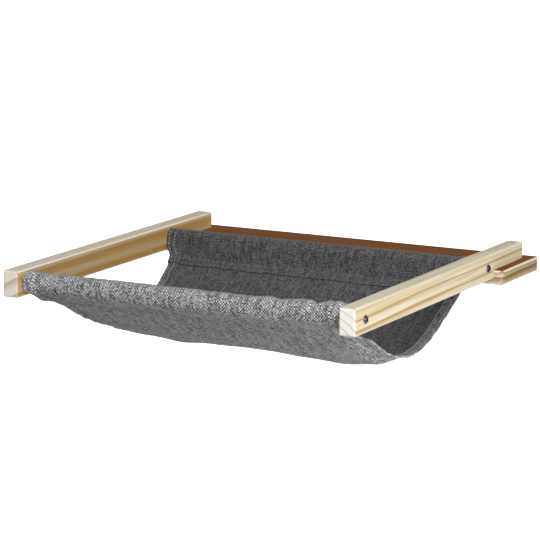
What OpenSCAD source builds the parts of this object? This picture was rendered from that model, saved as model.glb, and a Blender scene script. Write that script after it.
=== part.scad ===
// Cat hammock: a cloth sling on two rods between two pine arms. The arms reach out from a flat board,
// which is screwed down on a sill or a shelf.
// Millimetres. Origin at the centre of the board's underside, +X right, +Y to the rear, +Z up.

/* [Arms] */
// Height of an arm
arm_h = 35; // [30:1:44]
// Thickness of an arm
arm_t = 23; // [18:0.5:30]
// Clear width between the two arms
inner_w = 456; // [380:1:540]
// How far the arms reach out in front of the board
arm_reach = 400; // [320:1:480]
// How far an arm's rear end stops short of the board's rear edge
arm_tail_gap = 20.5; // [8:0.5:40]
// Depth of the notch that lets an arm down over the board
notch_depth = 12.5; // [6:0.5:15]
// Rounding of an arm's long edges
arm_edge_r = 3; // [1:0.25:4]
// Rounding of the upright corners at an arm's rear end
arm_corner_r = 6; // [3:0.25:8]
// Rounding of the upper edge at an arm's rear end
arm_tail_r = 6; // [3:0.25:9]

/* [Board] */
// Thickness of the board
board_t = 20; // [16:1:25]
// Depth of the board from front to rear
board_d = 120; // [100:1:160]
// How far the board stands out past an arm's outer face
board_overhang = 14; // [8:0.5:25]
// Rounding of the board's long edges and ends
board_edge_r = 4; // [1:0.25:6]
// Rounding of the board's corners seen from above
board_corner_r = 8; // [4:0.5:9]

/* [Sill screw holes] */
// Distance between the two holes in the board
sill_hole_spacing = 300; // [200:5:340]
// Distance of the holes behind the board's front edge
sill_hole_setback = 50; // [30:1:70]
// Diameter of a hole
sill_hole_d = 5.5; // [4:0.5:7]
// Diameter of the countersink at the board's top
sill_sink_d = 11; // [9:0.5:14]

/* [Rods] */
// Diameter of a rod
rod_d = 20; // [18:0.5:26]
// Distance of the front rod's axis behind the arms' front ends
front_rod_inset = 26; // [22:0.5:40]
// Room between the rear sleeve and the board's front edge
rear_sleeve_room = 4.5; // [1:0.5:10]

/* [Rod bolts] */
// Diameter of a bolt's thread
bolt_d = 6; // [5:0.5:6]
// How far a bolt reaches into its rod
bolt_reach = 17; // [12:0.5:24]
// Diameter of a bolt's domed head
bolt_head_d = 10.5; // [9.5:0.25:12]
// Height of a bolt's head
bolt_head_h = 3.3; // [2.8:0.1:4]
// Width across the flats of the hexagon socket
bolt_socket_w = 4; // [3:0.5:5]
// Outside diameter of the threaded insert in a rod's end
insert_d = 10; // [9:0.25:12]
// Length of the threaded insert
insert_len = 13; // [10:0.5:18]

/* [Board screws] */
// Distance of the rear screw from the arm's rear end
board_screw_inset = 21.5; // [11:0.5:34]
// Distance of the front screw behind the board's front edge
board_screw_lead = 26; // [12:0.5:40]
// Diameter of a screw's thread
board_screw_d = 4; // [3.5:0.25:5]
// Diameter of a screw's head
board_screw_head_d = 8; // [7:0.25:9]
// Height of a screw's head
board_screw_head_h = 3; // [2:0.25:3.5]
// Wood left in the board under a screw's point
board_screw_floor = 4.25; // [2:0.25:6]
// Diameter of the wooden plug over a screw
plug_d = 10; // [9.5:0.25:12]
// Length of the wooden plug
plug_len = 5; // [4:0.25:8]

/* [Sling] */
// Thickness of the cloth
cloth_t = 1.4; // [1:0.1:2]
// How much wider than the rod the front sleeve is, on the radius
front_sleeve_slack = 3; // [1:0.1:5]
// How much wider than the rod the rear sleeve is, on the radius
rear_sleeve_slack = 0.8; // [0.6:0.1:3]
// Gap between a sleeve's end and the arm
sleeve_side_gap = 1; // [0.5:0.25:8]
// Depth of the sling's side hems below the rods' axes
hem_sag = 87; // [60:1:110]
// Depth of the sling's belly below the rods' axes
belly_sag = 95; // [70:1:120]
// How far the left side hem is drawn in at the bottom
left_hem_draw = 13; // [3:0.5:20]
// How far the right side hem is drawn in at the bottom
right_hem_draw = 8; // [3:0.5:20]
// Slope of the cloth where it leaves the front sleeve, in degrees
front_leave_angle = 27; // [20:1:40]
// Slope of the cloth where it leaves the rear sleeve, in degrees
rear_leave_angle = 35; // [25:1:45]
// Distance from the rod to the seam that closes a sleeve
seam_drop = 26; // [22:0.5:34]
// Width of the doubled cloth at that seam
seam_w = 14; // [8:0.5:20]
// Extra depth of the pocket that sags lowest
pocket_depth = 7; // [2:0.5:12]

/* [Hidden] */
$fn = 64;

// Colours
pine = "#e3d3ab";
board_pine = "#a07a48";
rod_beech = "#d8c092";
plug_pine = "#d9c9a0";
grey_cloth = "#7d7d7f";
zinc = "#b9b7b4";
steel = "#8f8d92";
brass = "#c2a05a";

// Clearances and overruns
cut_overrun = 1;
fit_gap = 0.15;
hole_gap = 0.3;
sleeve_seat_gap = 0.45;
seam_layer_gap = 0.4;

// Levels and lines that the pieces share
board_w = inner_w + 2 * arm_t + 2 * board_overhang;
board_front_y = -board_d / 2;
board_rear_y = board_d / 2;
arm_front_y = board_front_y - arm_reach;
arm_rear_y = board_rear_y - arm_tail_gap;
arm_bottom_z = board_t - notch_depth;
arm_top_z = arm_bottom_z + arm_h;
arm_inner_x = inner_w / 2;
arm_outer_x = arm_inner_x + arm_t;
arm_middle_x = arm_inner_x + arm_t / 2;

// Rods
rod_r = rod_d / 2;
rod_z = arm_bottom_z + arm_h / 2;
front_sleeve_inner_r = rod_r + front_sleeve_slack;
rear_sleeve_inner_r = rod_r + rear_sleeve_slack;
front_rod_y = arm_front_y + front_rod_inset;
rear_rod_y = board_front_y - rear_sleeve_room - rear_sleeve_inner_r - cloth_t;

// Rod bolts
bolt_shank_len = arm_t + bolt_reach;
bolt_hole_d = bolt_d + 2 * hole_gap;
bolt_thread_pitch_share = 1 / 6;
bolt_thread_depth_share = 0.1;
bolt_plain_share = 0.3;
bolt_socket_depth_share = 0.6;
bolt_head_rim_share = 0.15;
insert_hole_d = insert_d + 2 * fit_gap;
insert_bore_d = bolt_d + 2 * fit_gap;
insert_pitch_share = 1 / 6;
insert_thread_depth_share = 0.1;
insert_slot_w_share = 0.15;
insert_slot_depth_share = 0.15;

// Board screws and plugs
board_screw_rear_y = arm_rear_y - board_screw_inset;
board_screw_front_y = board_front_y + board_screw_lead;
plug_hole_d = plug_d + 2 * fit_gap;
board_screw_seat_z = arm_top_z - plug_len - fit_gap - board_screw_head_h;
board_screw_tip_z = board_screw_floor;
board_screw_len = board_screw_seat_z - board_screw_tip_z;
board_screw_hole_d = board_screw_d + 2 * fit_gap;
board_screw_pitch_share = 0.45;
board_screw_depth_share = 0.15;
board_screw_plain_share = 0.35;
board_screw_tip_share = 1.2;
board_screw_slot_w_share = 0.13;
board_screw_slot_l_share = 0.62;
board_screw_slot_depth_share = 0.5;
board_screw_crown_share = 0.35;
plug_ease_share = 0.06;

// Sling
cloth_half_t = cloth_t / 2;
sleeve_half_w = arm_inner_x - sleeve_side_gap;
front_sleeve_r = front_sleeve_inner_r + cloth_half_t;
rear_sleeve_r = rear_sleeve_inner_r + cloth_half_t;
front_sleeve_shift = front_sleeve_slack - sleeve_seat_gap;
rear_sleeve_shift = rear_sleeve_slack - sleeve_seat_gap;
sling_low_share = 0.5;
front_handle_share = 0.5;
front_low_handle_share = 0.28;
rear_handle_share = 0.36;
rear_low_handle_share = 0.42;
crossing_cells = 13;
wrap_steps = 9;
half_panel_steps = 9;
// Each soft pocket of the belly: its place and its width as shares of the half width, and its depth
// as a share of the pocket depth
pocket_shares = [[0.7, 0.26, 1], [0.34, 0.16, 0.4], [0, 0.22, -0.4], [-0.45, 0.3, 0.15]];

// Points of an arc about a centre, from one angle to another
arc_steps = 6;
function arc_points(centre, r, from, to) = [
  for (i = [0 : arc_steps])
    let (a = from + (to - from) * i / arc_steps)
      centre + r * [cos(a), sin(a)]
];

// Outline of a rectangle, with one rounding for its low corners and one for its high corners
function eased_outline(low, high, low_r, high_r) = concat(
  arc_points([low.x + low_r, low.y + low_r], low_r, 180, 270),
  arc_points([high.x - low_r, low.y + low_r], low_r, 270, 360),
  arc_points([high.x - high_r, high.y - high_r], high_r, 0, 90),
  arc_points([low.x + high_r, high.y - high_r], high_r, 90, 180)
);

// Prisms along the three axes: an outline in YZ along X, one in XZ along Y, one in XY along Z
module prism_x(outline, x0, x1) {
  translate([x0, 0, 0])
    rotate([90, 0, 90])
      linear_extrude(height = x1 - x0)
        polygon(outline);
}

module prism_y(outline, y0, y1) {
  translate([0, y1, 0])
    rotate([90, 0, 0])
      linear_extrude(height = y1 - y0)
        polygon(outline);
}

module prism_z(outline, z0, z1) {
  translate([0, 0, z0])
    linear_extrude(height = z1 - z0)
      polygon(outline);
}

// Side view of an arm, with its notch over the board
arm_side = concat(
  arc_points([arm_front_y + arm_edge_r, arm_bottom_z + arm_edge_r], arm_edge_r, 180, 270),
  [[board_front_y, arm_bottom_z], [board_front_y, board_t], [arm_rear_y, board_t]],
  arc_points([arm_rear_y - arm_tail_r, arm_top_z - arm_tail_r], arm_tail_r, 0, 90),
  arc_points([arm_front_y + arm_edge_r, arm_top_z - arm_edge_r], arm_edge_r, 90, 180)
);

// Puts a piece that is drawn on the right-hand side on either side
module on_side(side) {
  mirror([side < 0 ? 1 : 0, 0, 0])
    children();
}

// Stands a piece on its place along a rod's axis: its own +Z then points out of the arm
module along_rod(side, y, x) {
  on_side(side)
    translate([x, y, rod_z])
      rotate([0, 90, 0])
        children();
}

// The hole for one rod bolt through the right arm
module rod_bolt_hole(y) {
  along_rod(1, y, arm_inner_x - cut_overrun)
    cylinder(d = bolt_hole_d, h = arm_t + 2 * cut_overrun);
}

// The hole for one board screw down through the right arm, with its counterbore for the plug
module board_screw_hole(y) {
  translate([arm_middle_x, y, board_t - cut_overrun])
    cylinder(d = board_screw_hole_d, h = arm_h);
  translate([arm_middle_x, y, board_screw_seat_z])
    cylinder(d = plug_hole_d, h = arm_h);
}

module arm(side) {
  on_side(side)
    difference() {
      intersection() {
        prism_x(arm_side, arm_inner_x, arm_outer_x);
        prism_y(
          eased_outline([arm_inner_x, arm_bottom_z], [arm_outer_x, arm_top_z], arm_edge_r, arm_edge_r),
          arm_front_y, arm_rear_y
        );
        prism_z(
          eased_outline([arm_inner_x, arm_front_y], [arm_outer_x, arm_rear_y], arm_edge_r, arm_corner_r),
          arm_bottom_z, arm_top_z
        );
      }
      rod_bolt_hole(front_rod_y);
      rod_bolt_hole(rear_rod_y);
      board_screw_hole(board_screw_front_y);
      board_screw_hole(board_screw_rear_y);
    }
}

module left_arm() { color(pine) arm(-1); }
module right_arm() { color(pine) arm(1); }

// One countersunk hole down through the board
module sill_hole(x) {
  translate([x, board_front_y + sill_hole_setback, 0]) {
    translate([0, 0, -cut_overrun])
      cylinder(d = sill_hole_d, h = board_t + 2 * cut_overrun);
    translate([0, 0, board_t - (sill_sink_d - sill_hole_d) / 2])
      cylinder(d1 = sill_hole_d, d2 = sill_sink_d, h = (sill_sink_d - sill_hole_d) / 2);
  }
}

module back_board() {
  color(board_pine)
    difference() {
      intersection() {
        prism_x(
          eased_outline([board_front_y, 0], [board_rear_y, board_t], board_edge_r, board_edge_r),
          -board_w / 2, board_w / 2
        );
        prism_y(
          eased_outline([-board_w / 2, 0], [board_w / 2, board_t], board_edge_r, board_edge_r),
          board_front_y, board_rear_y
        );
        prism_z(
          eased_outline(
            [-board_w / 2, board_front_y], [board_w / 2, board_rear_y], board_corner_r, board_corner_r
          ),
          0, board_t
        );
      }
      for (side = [-1, 1]) {
        sill_hole(side * sill_hole_spacing / 2);
        for (y = [board_screw_front_y, board_screw_rear_y])
          translate([side * arm_middle_x, y, board_screw_tip_z - fit_gap])
            cylinder(d = board_screw_hole_d, h = board_t);
      }
    }
}

// A rod between the arms, bored at both ends for its inserts and bolts
module rod(y) {
  difference() {
    along_rod(1, y, -arm_inner_x)
      cylinder(d = rod_d, h = inner_w);
    for (side = [-1, 1]) {
      along_rod(side, y, arm_inner_x - insert_len)
        cylinder(d = insert_hole_d, h = insert_len + cut_overrun);
      along_rod(side, y, arm_inner_x - bolt_reach - cut_overrun)
        cylinder(d = bolt_hole_d, h = bolt_reach + 2 * cut_overrun);
    }
  }
}

module front_rod() { color(rod_beech) rod(front_rod_y); }
module rear_rod() { color(rod_beech) rod(rear_rod_y); }

// Zigzag of a thread's flanks between two heights, as points of a turned outline
function thread_flanks(r, depth, z0, z1, pitch) =
  let (turns = floor((z1 - z0) / pitch))
    [for (i = [0 : 2 * turns]) [r - (i % 2 == 0 ? depth : 0), z0 + (z1 - z0) * i / (2 * turns)]];

// A button head bolt with a hexagon socket, drawn up its own axis with the head's underside at zero
module rod_bolt(side, y) {
  r = bolt_d / 2;
  head_r = bolt_head_d / 2;
  rim_h = bolt_head_rim_share * bolt_head_h;
  dome_h = bolt_head_h - rim_h;
  dome_r = (head_r * head_r + dome_h * dome_h) / (2 * dome_h);
  depth = bolt_thread_depth_share * bolt_d;
  plain_z = -bolt_plain_share * bolt_shank_len;
  socket_depth = bolt_socket_depth_share * bolt_head_h;
  outline = concat(
    [[0, -bolt_shank_len]],
    thread_flanks(r, depth, -bolt_shank_len, plain_z, bolt_thread_pitch_share * bolt_d),
    [[r, plain_z], [r, 0], [head_r, 0]],
    arc_points([0, bolt_head_h - dome_r], dome_r, acos(head_r / dome_r), 90)
  );
  along_rod(side, y, arm_outer_x)
    difference() {
      rotate_extrude()
        polygon(outline);
      translate([0, 0, bolt_head_h - socket_depth])
        cylinder(d = bolt_socket_w / cos(30), h = socket_depth + cut_overrun, $fn = 6);
    }
}

module front_left_rod_bolt() { color(steel) rod_bolt(-1, front_rod_y); }
module front_right_rod_bolt() { color(steel) rod_bolt(1, front_rod_y); }
module rear_left_rod_bolt() { color(steel) rod_bolt(-1, rear_rod_y); }
module rear_right_rod_bolt() { color(steel) rod_bolt(1, rear_rod_y); }

// A threaded insert in a rod's end: coarse thread outside, bore for the bolt, slot for driving it in
module rod_insert(side, y) {
  r = insert_d / 2;
  depth = insert_thread_depth_share * insert_d;
  outline = concat(
    [[insert_bore_d / 2, insert_len], [insert_bore_d / 2, 0]],
    thread_flanks(r, depth, 0, insert_len, insert_pitch_share * insert_d)
  );
  slot_w = insert_slot_w_share * insert_d;
  slot_depth = insert_slot_depth_share * insert_len;
  along_rod(side, y, arm_inner_x - insert_len)
    difference() {
      rotate_extrude()
        polygon(outline);
      translate([-insert_d, -slot_w / 2, insert_len - slot_depth])
        cube([2 * insert_d, slot_w, slot_depth + cut_overrun]);
    }
}

module front_left_rod_insert() { color(brass) rod_insert(-1, front_rod_y); }
module front_right_rod_insert() { color(brass) rod_insert(1, front_rod_y); }
module rear_left_rod_insert() { color(brass) rod_insert(-1, rear_rod_y); }
module rear_right_rod_insert() { color(brass) rod_insert(1, rear_rod_y); }

// A pan-head wood screw with a cross recess, from the arm's counterbore down into the board
module board_screw(side, y) {
  r = board_screw_d / 2;
  head_r = board_screw_head_d / 2;
  depth = board_screw_depth_share * board_screw_d;
  tip_z = board_screw_tip_share * board_screw_d - board_screw_len;
  plain_z = -board_screw_plain_share * board_screw_len;
  crown_z = (1 - board_screw_crown_share) * board_screw_head_h;
  crown_r = (1 - board_screw_crown_share) * head_r;
  slot_w = board_screw_slot_w_share * board_screw_head_d;
  slot_l = board_screw_slot_l_share * board_screw_head_d;
  slot_depth = board_screw_slot_depth_share * board_screw_head_h;
  outline = concat(
    [[0, -board_screw_len]],
    thread_flanks(r, depth, tip_z, plain_z, board_screw_pitch_share * board_screw_d),
    [[r, plain_z], [r, 0], [head_r, 0], [head_r, crown_z], [crown_r, board_screw_head_h]],
    [[0, board_screw_head_h]]
  );
  translate([side * arm_middle_x, y, board_screw_seat_z])
    difference() {
      rotate_extrude()
        polygon(outline);
      for (turn = [0, 90])
        rotate([0, 0, turn])
          translate([-slot_l / 2, -slot_w / 2, board_screw_head_h - slot_depth])
            cube([slot_l, slot_w, slot_depth + cut_overrun]);
    }
}

module front_left_board_screw() { color(zinc) board_screw(-1, board_screw_front_y); }
module front_right_board_screw() { color(zinc) board_screw(1, board_screw_front_y); }
module rear_left_board_screw() { color(zinc) board_screw(-1, board_screw_rear_y); }
module rear_right_board_screw() { color(zinc) board_screw(1, board_screw_rear_y); }

// A wooden plug that closes a screw's counterbore, flush with the arm's top
module plug(side, y) {
  ease = plug_ease_share * plug_d;
  translate([side * arm_middle_x, y, arm_top_z - plug_len]) {
    cylinder(d1 = plug_d - 2 * ease, d2 = plug_d, h = ease);
    translate([0, 0, ease])
      cylinder(d = plug_d, h = plug_len - ease);
  }
}

module front_left_plug() { color(plug_pine) plug(-1, board_screw_front_y); }
module front_right_plug() { color(plug_pine) plug(1, board_screw_front_y); }
module rear_left_plug() { color(plug_pine) plug(-1, board_screw_rear_y); }
module rear_right_plug() { color(plug_pine) plug(1, board_screw_rear_y); }

// The sling's section is drawn in YZ, as [y, z] points along the middle of the cloth.
// Where the cloth leaves each sleeve, and which way it runs there
front_run = [cos(front_leave_angle), -sin(front_leave_angle)];
rear_run = [-cos(rear_leave_angle), -sin(rear_leave_angle)];
front_sleeve_centre = [front_rod_y, rod_z] + front_sleeve_shift * front_run;
rear_sleeve_centre = [rear_rod_y, rod_z] + rear_sleeve_shift * rear_run;
front_out_angle = 270 - front_leave_angle;
rear_out_angle = rear_leave_angle - 90;
front_leave = front_sleeve_centre + front_sleeve_r * [cos(front_out_angle), sin(front_out_angle)];
rear_leave = rear_sleeve_centre + rear_sleeve_r * [cos(rear_out_angle), sin(rear_out_angle)];

// Depth of the sling below the rods at a place across it, from -1 at the left hem to 1 at the right
function pocket(u) =
  let (parts = [for (p = pocket_shares) p[2] * exp(-pow((u - p[0]) / p[1], 2))])
    pocket_depth * (parts * [for (p = parts) 1]);
function sag(u) = hem_sag + (belly_sag - hem_sag) * (1 - pow(abs(u), 3)) + pocket(u);
function lowest(u) = [
  front_rod_y + sling_low_share * (rear_rod_y - front_rod_y),
  rod_z - sag(u)
];

// A point on the cubic curve with end points a and d, and handles b and c
function cubic(a, b, c, d, t) =
  pow(1 - t, 3) * a + 3 * t * pow(1 - t, 2) * b + 3 * t * t * (1 - t) * c + pow(t, 3) * d;
function front_half(u, t) =
  let (low = lowest(u), run = low.x - front_leave.x)
    cubic(
      front_leave, front_leave + front_handle_share * run * front_run,
      low - [front_low_handle_share * run, 0], low, t
    );
function rear_half(u, t) =
  let (low = lowest(u), run = rear_leave.x - low.x)
    cubic(
      rear_leave, rear_leave + rear_handle_share * run * rear_run,
      low + [rear_low_handle_share * run, 0], low, t
    );

// The doubled cloth at a seam lies inside the panel: its two points, from the free edge to the seam
front_speed = 3 * front_handle_share * (lowest(0).x - front_leave.x);
rear_speed = 3 * rear_handle_share * (rear_leave.x - lowest(0).x);
layer_step = cloth_t + seam_layer_gap;
function front_seam(u) = [
  for (reach = [seam_drop + seam_w, seam_drop])
    front_half(u, reach / front_speed) + layer_step * [-front_run.y, front_run.x]
];
function rear_seam(u) = [
  for (reach = [seam_drop, seam_drop + seam_w])
    rear_half(u, reach / rear_speed) + layer_step * [rear_run.y, -rear_run.x]
];

// Angle at which a straight line from a point touches a circle, on the counter-clockwise side for 1
function touch_angle(centre, r, point, hand) =
  let (reach = point - centre)
    atan2(reach.y, reach.x) + hand * acos(r / norm(reach));

// One section across the sling, from the front seam round the rod, down and up, to the rear seam
function section(u) =
  let (
    front_edge = front_seam(u),
    rear_edge = rear_seam(u),
    front_touch = touch_angle(front_sleeve_centre, front_sleeve_r, front_edge[1], 1),
    rear_touch = touch_angle(rear_sleeve_centre, rear_sleeve_r, rear_edge[0], -1)
  )
    concat(
      front_edge,
      [
        for (i = [0 : wrap_steps])
          let (a = front_touch + (front_out_angle - front_touch) * i / wrap_steps)
            front_sleeve_centre + front_sleeve_r * [cos(a), sin(a)]
      ],
      [for (i = [1 : half_panel_steps]) front_half(u, i / half_panel_steps)],
      [for (i = [1 : half_panel_steps]) rear_half(u, 1 - i / half_panel_steps)],
      [
        for (i = [1 : wrap_steps])
          let (a = rear_out_angle + (rear_touch + 360 - rear_out_angle) * i / wrap_steps)
            rear_sleeve_centre + rear_sleeve_r * [cos(a), sin(a)]
      ],
      rear_edge
    );

// How far the cloth is drawn in on one side at a point of a section, by how deep it hangs there
function draw_in(u, point) =
  let (drop = min(1, max(0, rod_z - rod_r - point.y) / hem_sag))
    (u < 0 ? left_hem_draw : right_hem_draw) * (1 - pow(1 - drop, 4));

// Unit normal of a section at one of its points
function section_normal(path, i) =
  let (
    step = path[min(i + 1, len(path) - 1)] - path[max(i - 1, 0)],
    along = step / norm(step)
  )
    [-along.y, along.x];

// One face of the cloth, offset from its middle: rows across the sling, points along the section
function cloth_rows(offset) = [
  for (c = [0 : crossing_cells])
    let (u = 2 * c / crossing_cells - 1, path = section(u))
      [
        for (i = [0 : len(path) - 1])
          let (p = path[i] + offset * section_normal(path, i))
            [u * (sleeve_half_w - draw_in(u, path[i])), p.x, p.y]
      ]
];

// The two triangles of a four-cornered patch
function patch(a, b, c, d) = [[a, b, c], [a, c, d]];

module sling() {
  upper = cloth_rows(cloth_half_t);
  lower = cloth_rows(-cloth_half_t);
  count = len(upper[0]);
  last = count - 1;
  shift = (crossing_cells + 1) * count;
  points = concat([for (row = upper) each row], [for (row = lower) each row]);
  faces = concat(
    [
      for (c = [0 : crossing_cells - 1], i = [0 : last - 1])
        let (a = c * count + i)
          each patch(a, a + 1, a + count + 1, a + count)
    ],
    [
      for (c = [0 : crossing_cells - 1], i = [0 : last - 1])
        let (a = shift + c * count + i)
          each patch(a, a + count, a + count + 1, a + 1)
    ],
    [
      for (i = [0 : last - 1])
        each patch(i, i + shift, i + 1 + shift, i + 1)
    ],
    [
      for (i = [0 : last - 1])
        let (a = crossing_cells * count + i)
          each patch(a, a + 1, a + 1 + shift, a + shift)
    ],
    [
      for (c = [0 : crossing_cells - 1])
        let (a = c * count)
          each patch(a, a + count, a + count + shift, a + shift)
    ],
    [
      for (c = [0 : crossing_cells - 1])
        let (a = c * count + last)
          each patch(a, a + shift, a + count + shift, a + count)
    ]
  );
  color(grey_cloth)
    polyhedron(points = points, faces = faces);
}

left_arm();
right_arm();
back_board();
front_rod();
rear_rod();
sling();
front_left_rod_bolt();
front_right_rod_bolt();
rear_left_rod_bolt();
rear_right_rod_bolt();
front_left_rod_insert();
front_right_rod_insert();
rear_left_rod_insert();
rear_right_rod_insert();
front_left_board_screw();
front_right_board_screw();
rear_left_board_screw();
rear_right_board_screw();
front_left_plug();
front_right_plug();
rear_left_plug();
rear_right_plug();
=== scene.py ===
"""Cat hammock: a heather cloth sling on two rods between two pine arms, which stand on a board.

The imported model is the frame, in metres. Its wood and metal nodes stay where they are and get their
finishes here. The sling's solid is replaced by the sewn cloth, with its sleeves, hems and stitching.
Sizes in the classes are millimetres and angles degrees.
"""

import logging
import math
from abc import ABC, abstractmethod
from collections.abc import Callable, Mapping
from dataclasses import dataclass
from enum import Enum
from functools import partial
from typing import Any

import bmesh
import bpy
import numpy as np
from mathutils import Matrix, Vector


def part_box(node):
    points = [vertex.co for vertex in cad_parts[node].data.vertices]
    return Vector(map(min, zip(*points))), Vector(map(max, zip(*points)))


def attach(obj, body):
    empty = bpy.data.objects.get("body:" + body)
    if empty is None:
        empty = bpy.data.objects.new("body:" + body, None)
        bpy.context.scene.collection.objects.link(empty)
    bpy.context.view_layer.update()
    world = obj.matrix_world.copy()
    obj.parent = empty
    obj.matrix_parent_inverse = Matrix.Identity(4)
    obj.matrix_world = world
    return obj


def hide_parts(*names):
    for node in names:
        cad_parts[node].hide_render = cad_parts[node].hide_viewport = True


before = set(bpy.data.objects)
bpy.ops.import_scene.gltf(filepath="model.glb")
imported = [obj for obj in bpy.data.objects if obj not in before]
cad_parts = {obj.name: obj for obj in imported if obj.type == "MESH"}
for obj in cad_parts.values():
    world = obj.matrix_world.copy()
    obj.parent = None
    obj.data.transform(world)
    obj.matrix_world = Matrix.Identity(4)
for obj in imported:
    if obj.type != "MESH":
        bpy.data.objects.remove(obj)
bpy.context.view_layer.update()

MM = 0.001
BODY = "root"
CLOTH_PLACE = "cloth_place"
Pair = tuple[float, float]
Triple = tuple[float, float, float]
AddNode = Callable[..., bpy.types.Node]
log = logging.getLogger("cat_hammock")


class Side(Enum):
    """The two sides of the hammock, by the sign of X."""

    LEFT = -1
    RIGHT = 1


class End(Enum):
    """The two ends of the hammock along Y."""

    FRONT = "front"
    REAR = "rear"


class Grain(Enum):
    """The way the trunk lay in a piece of wood, as a turn of the log's own Y axis."""

    ALONG_X = (0.0, 0.0, -90.0)
    ALONG_Y = (0.0, 0.0, 0.0)


CORNERS = [f"{end.value}_{side.name.lower()}" for end in End for side in Side]


def linear(colour: str) -> tuple[float, float, float, float]:
    """Turn an sRGB hex colour into linear light.

    Args:
        colour: Six hex digits after a hash.

    Returns:
        Red, green, blue and an alpha of one.
    """
    shares = [int(colour[i:i + 2], 16) / 255 for i in (1, 3, 5)]
    red, green, blue = (s / 12.92 if s <= 0.04045 else ((s + 0.055) / 1.055) ** 2.4 for s in shares)
    return red, green, blue, 1.0


def per_mm(*sizes: float) -> tuple[float, ...]:
    """Turn pattern sizes in millimetres into repeats per metre."""
    return tuple(1 / (size * MM) for size in sizes)


def add_node(
    tree: bpy.types.NodeTree,
    kind: str,
    *inputs: Any,
    sockets: Mapping[str, Any] | None = None,
    **settings: Any,
) -> bpy.types.Node:
    """Add a shader node with its settings, its constant inputs and its links.

    Args:
        tree: Tree that gets the node.
        kind: Type of the node, without the words that all shader nodes start with.
        *inputs: What goes into the sockets in use, in their order. A node's first result or a socket is
            linked, and anything else is set.
        sockets: The same for sockets by their names.
        **settings: Properties of the node itself.

    Returns:
        The new node.
    """
    node = tree.nodes.new("ShaderNode" + kind)
    for name, value in settings.items():
        setattr(node, name, value)
    in_use = [socket for socket in node.inputs if socket.enabled]
    named = [(node.inputs[name], value) for name, value in (sockets or {}).items()]
    for socket, source in [*zip(in_use, inputs), *named]:
        if isinstance(source, bpy.types.Node):
            source = next(output for output in source.outputs if output.enabled)
        if isinstance(source, bpy.types.NodeSocket):
            tree.links.new(source, socket)
        else:
            socket.default_value = source
    return node


def new_piece(name: str, points: np.ndarray, faces: list[list[int]]) -> bpy.types.Object:
    """Make a smooth mesh and put it in the scene.

    Args:
        name: Name of the piece.
        points: Its points in millimetres, in a grid of any shape.
        faces: Indices of each face's points.

    Returns:
        The piece.
    """
    mesh = bpy.data.meshes.new(name)
    mesh.from_pydata((points.reshape(-1, 3) * MM).tolist(), [], faces)
    mesh.shade_smooth()
    piece = bpy.data.objects.new(name, mesh)
    bpy.context.collection.objects.link(piece)
    return piece


def give(node_name: str, material: bpy.types.Material) -> None:
    """Put a finish on a node of the frame.

    Args:
        node_name: Name of the node.
        material: The finish.
    """
    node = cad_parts[node_name]
    node.material_slots[0].link = "OBJECT"
    node.material_slots[0].material = material
    log.info("%s dressed in %s", node_name, material.name)


def bearing(azimuth: float, elevation: float) -> Vector:
    """Direction to a place round the hammock, by its angles from the front and from level."""
    turn, rise = math.radians(azimuth), math.radians(elevation)
    return Vector((math.sin(turn) * math.cos(rise), -math.cos(turn) * math.cos(rise), math.sin(rise)))


def smooth_step(low: float, high: float, value: np.ndarray) -> np.ndarray:
    """Rise smoothly from 0 at low to 1 at high."""
    share = np.clip((value - low) / (high - low), 0.0, 1.0)
    return share * share * (3 - 2 * share)


def hump(value: np.ndarray, centre: float, width: float) -> np.ndarray:
    """Bell curve of height 1 about a centre."""
    return np.exp(-(((value - centre) / width) ** 2))


def bezier(points: list[np.ndarray], share: np.ndarray) -> np.ndarray:
    """Points of curves, one row for each share of their way, from their control points."""
    t, last = share[:, None, None], len(points) - 1
    return sum(math.comb(last, i) * t**i * (1 - t) ** (last - i) * p[None] for i, p in enumerate(points))


class Finish(ABC):
    """A surface that is made of shader nodes."""

    name: str

    @abstractmethod
    def shade(self, add: AddNode) -> bpy.types.Node:
        """Build the surface.

        Args:
            add: Adds a node to the material, as add_node does.

        Returns:
            The shader.
        """

    def material(self) -> bpy.types.Material:
        """Make the material with its nodes.

        Returns:
            The material.
        """
        material = bpy.data.materials.new(self.name)
        material.use_nodes = True
        material.node_tree.nodes.clear()
        add = partial(add_node, material.node_tree)
        add("OutputMaterial", self.shade(add))
        return material


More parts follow.
